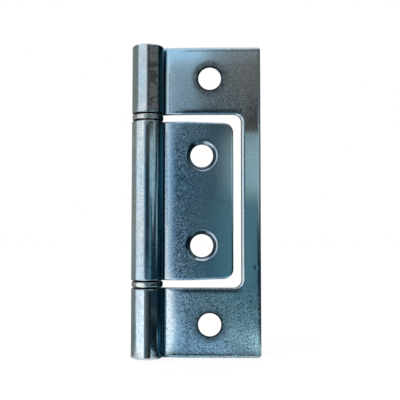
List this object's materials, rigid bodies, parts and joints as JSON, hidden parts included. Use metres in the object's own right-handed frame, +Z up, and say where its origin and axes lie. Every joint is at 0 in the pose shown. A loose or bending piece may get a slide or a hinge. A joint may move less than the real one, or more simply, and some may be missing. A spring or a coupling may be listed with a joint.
{
  "type": "omega hinge",
  "caption": "Zinc-plated steel flush hinge: a door leaf nests in the window of a C-shaped frame leaf, and rolled omega knuckles turn on a fixed pin with washers between them.",
  "frame": {"origin": "on the frame leaf's seat face, midway between its two screw holes", "axes": "+Z up along the pin, +X from the pin to the leaves' free edges, +Y from the frame leaf's seat into the leaf, which is the way the door leaf opens"},
  "size_m": [0.0317, 0.0079, 0.0762],
  "materials": {
    "frame_zinc": "bright zinc plate with a faint blue cast and a fine grain, on steel sheet",
    "door_zinc": "bright zinc plate with a faint blue cast and a fine grain, on steel sheet",
    "pin_steel": "zinc-plated drawn steel rod",
    "washer_zinc": "bright zinc-plated steel ring, tumbled"
  },
  "bodies": {
    "frame": {"frame_leaf": "frame_zinc", "hinge_pin": "pin_steel", "upper_washer": "washer_zinc", "lower_washer": "washer_zinc"},
    "door": {"door_leaf": "door_zinc"}
  },
  "joints": [
    {"name": "leaf_swing", "type": "hinge", "parent": "frame", "child": "door", "pos_m": [-0.01525, 0.00075, 0], "axis": [0, 0, 1], "continuous": true}
  ]
}
